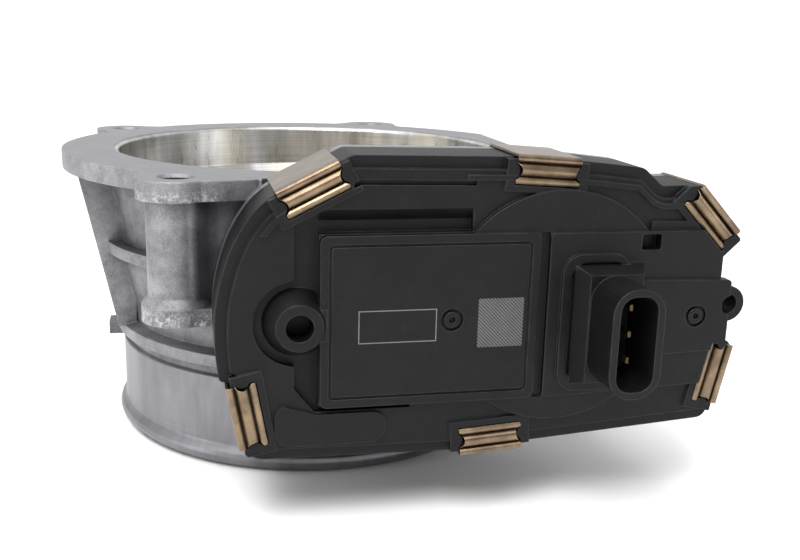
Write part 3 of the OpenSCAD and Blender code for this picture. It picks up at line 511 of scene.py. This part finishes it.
cast = cast_housing()
bearing = metal("bearing_steel", (196, 198, 202), (0.10, 0.2), "turned", 0.86, 0.08)
zinc = metal("zinc_plated_steel", (170, 172, 178), (0.28, 0.44), "plain", 0.78)
ground = metal("ground_shaft_steel", (184, 185, 188), (0.16, 0.3), "turned", 0.8, 0.12)
LOOKS = {
    "housing": cast,
    "gear_cover": cover_plastic(),
    "cover_clips": clip_steel(),
    "far_end_plug": zinc,
    "stop_screw": metal("black_oxide_steel", (66, 66, 70), (0.34, 0.5), "turned", 0.7),
    "cover_gasket": plastic("red_brown_gasket", (104, 52, 40), (0.45, 0.6)),
    "connector_pins": metal("plated_pins", (150, 132, 96), (0.35, 0.5), "rolled", 0.75),
    "lead_frame": metal("stamped_conductor", (196, 160, 92), (0.28, 0.42), "rolled", 0.75),
    "sensor_board": board(),
    "throttle_shaft": ground,
    "throttle_plate": throttle_plate_metal(),
    "plate_screws": metal("staked_screw_steel", (160, 158, 150), (0.3, 0.45), "plain", 0.7),
    "sector_gear": plastic("natural_gear_plastic", (206, 200, 178), (0.38, 0.52), sub=0.05),
    "sector_hub_insert": metal("knurled_insert_steel", (150, 150, 154), (0.3, 0.42), "ground",
                               0.7, 0.5),
    "sensor_rotor": metal("stamped_target_steel", (178, 184, 194), (0.22, 0.34), "rolled", 0.8),
    "return_spring": metal("drawn_spring_wire", (96, 96, 102), (0.26, 0.4), "ground", 0.7),
    "spring_guide": plastic("white_guide_plastic", (222, 218, 206), (0.42, 0.55)),
    "bearing_outer_ring": bearing,
    "bearing_inner_ring": bearing,
    "bearing_balls": metal("polished_ball_steel", (210, 212, 216), (0.05, 0.1), "plain",
                           0.92, 0.02),
    "bearing_cage": plastic("tan_cage_plastic", (172, 146, 100), (0.4, 0.55)),
    "needle_cup": bearing,
    "needle_rollers": metal("ground_roller_steel", (204, 206, 210), (0.08, 0.16), "turned",
                            0.9, 0.05),
    "shaft_seals": plastic("black_seal_rubber", (26, 26, 27), (0.5, 0.7), 1500),
    "idler_gear": plastic("white_gear_plastic", (226, 222, 208), (0.36, 0.5), sub=0.05),
    "idler_pin": ground,
    "idler_washer": zinc,
    "motor_can": metal("zinc_plated_can", (176, 178, 184), (0.24, 0.38), "plain", 0.8),
    "motor_magnets": metal("grey_ferrite", (72, 72, 76), (0.5, 0.65), "sintered",
                           0.75, 0.3, 0.2),
    "motor_end_cap": cover_plastic("black_motor_plastic", (38, 37, 38), 2600, marked=False),
    "motor_screws": metal("motor_screw_steel", (120, 120, 126), (0.3, 0.42), "turned", 0.7),
    "motor_brushes": metal("carbon_brush", (44, 42, 40), (0.5, 0.7), "sintered",
                           0.7, 0.4, 0.3),
    "motor_front_bush": metal("sintered_bronze_front", (172, 126, 78), (0.4, 0.55), "sintered",
                              0.75, 0.4),
    "motor_rear_bush": metal("sintered_bronze_rear", (168, 122, 76), (0.4, 0.55), "sintered",
                             0.75, 0.4),
    "motor_shaft": metal("motor_shaft_steel", (190, 191, 194), (0.12, 0.24), "turned",
                         0.84, 0.08),
    "motor_pinion": metal("brass_pinion", (204, 170, 96), (0.22, 0.36), "ground", 0.8),
    "armature_core": metal("stacked_laminations", (124, 124, 130), (0.35, 0.5), "stacked",
                           0.65, 0.5),
    "armature_windings": metal("enamelled_copper", (176, 92, 48), (0.2, 0.34), "wound",
                               0.7, 0.6),
    "commutator": metal("copper_segments", (200, 128, 88), (0.22, 0.36), "turned", 0.78),
    "motor_terminals": metal("tinned_brass", (206, 184, 130), (0.25, 0.4), "rolled", 0.8),
}
for node_name, look in LOOKS.items():
    dress(node_name, look)


# ------------------------------------------------------------ mesh pieces

def piece(name, bm, mat, body, smooth=True):
    me = bpy.data.meshes.new(name)
    bm.to_mesh(me)
    bm.free()
    me.materials.append(mat)
    for p in me.polygons:
        p.use_smooth = smooth
    o = bpy.data.objects.new(name, me)
    bpy.context.scene.collection.objects.link(o)
    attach(o, body)
    return o


def tube(points, radius, sides=12):
    """Closed round tube along a list of points."""
    bm = bmesh.new()
    rings = []
    up = Vector((0, 1, 0))
    for i, p in enumerate(points):
        a = points[max(0, i - 1)]
        b = points[min(len(points) - 1, i + 1)]
        d = (b - a).normalized()
        u = up - d * up.dot(d)
        u = u.normalized() if u.length > 1e-6 else d.orthogonal().normalized()
        v = d.cross(u)
        rings.append([bm.verts.new(p + (u * math.cos(k * 2 * math.pi / sides)
                                        + v * math.sin(k * 2 * math.pi / sides)) * radius)
                      for k in range(sides)])
    for r0, r1 in zip(rings, rings[1:]):
        for k in range(sides):
            bm.faces.new((r0[k], r0[(k + 1) % sides], r1[(k + 1) % sides], r1[k]))
    bm.faces.new(list(reversed(rings[0])))
    bm.faces.new(rings[-1])
    bmesh.ops.recalc_face_normals(bm, faces=bm.faces)
    return bm


def return_spring():
    """Torsion spring with its fixed leg in the housing slot, in the room of the CAD rings."""
    lo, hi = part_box("return_spring")
    cx, cz = (lo[0] + hi[0]) / 2, (lo[2] + hi[2]) / 2
    wire = 0.62 * MM
    radius = (hi[0] - lo[0]) / 2 - wire - 0.05 * MM
    y0, y1 = lo[1] + wire, hi[1] - wire
    turns, steps = 2.75, 48
    n = int(turns * steps)
    coil = []
    for i in range(n + 1):
        a = math.radians(285) + i / steps * 2 * math.pi
        coil.append(Vector((cx + radius * math.cos(a), y1 + (y0 - y1) * i / n,
                            cz + radius * math.sin(a))))
    # the leg swings out of the coil in a short bend and runs down the slot
    leg_end = Vector((cx, y1, cz - 18.9 * MM))
    leg_top = Vector((cx, y1, cz - 16.6 * MM))
    corner = Vector((cx, y1, cz - radius))
    bend = []
    for i in range(1, 6):
        f = i / 6
        bend.append(leg_top * (1 - f) ** 2 + corner * 2 * f * (1 - f) + coil[0] * f ** 2)
    o = piece("torsion_spring", tube([leg_end, leg_top] + bend + coil, wire),
              LOOKS["return_spring"], "housing_group")
    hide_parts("return_spring")


return_spring()


# ------------------------------------------------- floor, lights and camera

def studio_ground():
    """Large pale floor just under the part."""
    h = FLOOR_HALF
    mesh = bpy.data.meshes.new("floor")
    mesh.from_pydata([(-h, -h, 0), (h, -h, 0), (h, h, 0), (-h, h, 0)], [], [(0, 1, 2, 3)])
    mesh.materials.append(studio_floor())
    floor = bpy.data.objects.new("floor", mesh)
    floor.location = (0, 0, CAD_BOX[0][2] - 0.0001)
    bpy.context.scene.collection.objects.link(floor)


def studio_world():
    """White surroundings, dimmer on the camera's side, with a full white band at the horizon."""
    world = bpy.data.worlds.new("studio")
    bpy.context.scene.world = world
    world.use_nodes = True
    tree = world.node_tree
    background = tree.nodes["Background"]

    def faded(value, start, end, at_start, at_end):
        n = tree.nodes.new("ShaderNodeMapRange")
        n.inputs["From Min"].default_value = start
        n.inputs["From Max"].default_value = end
        n.inputs["To Min"].default_value = at_start
        n.inputs["To Max"].default_value = at_end
        tree.links.new(value, n.inputs["Value"])
        return n.outputs["Result"]

    way = tree.nodes.new("ShaderNodeTexCoord")
    parts = tree.nodes.new("ShaderNodeSeparateXYZ")
    tree.links.new(way.outputs["Generated"], parts.inputs["Vector"])
    height = tree.nodes.new("ShaderNodeMath")
    height.operation = "ABSOLUTE"
    tree.links.new(parts.outputs["Z"], height.inputs[0])
    brighter = tree.nodes.new("ShaderNodeMath")
    brighter.operation = "MAXIMUM"
    across = faded(parts.outputs["Y"], -0.75, 0.45, WORLD_FRONT, WORLD_BACK)
    horizon = faded(height.outputs[0], 0.10, 0.30, WORLD_BACK, 0.0)
    tree.links.new(across, brighter.inputs[0])
    tree.links.new(horizon, brighter.inputs[1])
    tree.links.new(brighter.outputs[0], background.inputs["Strength"])
    background.inputs["Color"].default_value = (1, 1, 1, 1)


def sun(name, place, strength, angle):
    data = bpy.data.lights.new(name, "SUN")
    data.energy = strength
    data.angle = math.radians(angle)
    o = bpy.data.objects.new(name, data)
    o.rotation_euler = (-Vector(place)).to_track_quat("-Z", "Y").to_euler()
    bpy.context.scene.collection.objects.link(o)


def area(name, place, size, power):
    """Soft rectangular light aimed at the middle of the part."""
    data = bpy.data.lights.new(name, "AREA")
    data.shape = "RECTANGLE"
    data.size, data.size_y = size
    data.energy = power
    o = bpy.data.objects.new(name, data)
    o.location = place
    way = Vector((0.01, -0.02, -0.03)) - Vector(place)
    o.rotation_euler = way.to_track_quat("-Z", "Y").to_euler()
    bpy.context.scene.collection.objects.link(o)


def photo_camera():
    """Camera at the photo's angle."""
    data = bpy.data.cameras.new("camera")
    camera = bpy.data.objects.new("camera", data)
    bpy.context.scene.collection.objects.link(camera)
    yaw, pitch, roll = CAMERA_YAW, CAMERA_PITCH, CAMERA_ROLL
    forward = Vector((math.sin(yaw) * math.cos(pitch), math.cos(yaw) * math.cos(pitch),
                      -math.sin(pitch)))
    level = Vector((math.cos(yaw), -math.sin(yaw), 0))
    upright = level.cross(forward)
    right = level * math.cos(roll) + upright * math.sin(roll)
    up = upright * math.cos(roll) - level * math.sin(roll)
    turn = Matrix((right, up, -forward)).transposed()
    camera.matrix_world = Matrix.Translation(CAMERA_PLACE) @ turn.to_4x4()
    data.sensor_width = 36
    data.lens = CAMERA_LENS
    data.clip_start, data.clip_end = 0.01, 20
    bpy.context.scene.camera = camera


bpy.context.scene.view_settings.view_transform = "Standard"
studio_ground()
studio_world()
area("key_top", (-0.2, -0.5, 0.6), (0.4, 0.35), 6)
area("side_left", (-0.7, -0.25, 0.12), (0.2, 0.6), 1.6)
area("side_right", (0.75, -0.35, 0.3), (0.3, 0.5), 1.6)
sun("sky_panel", (-0.2, -0.1, 1.0), 2.2, 60)
photo_camera()
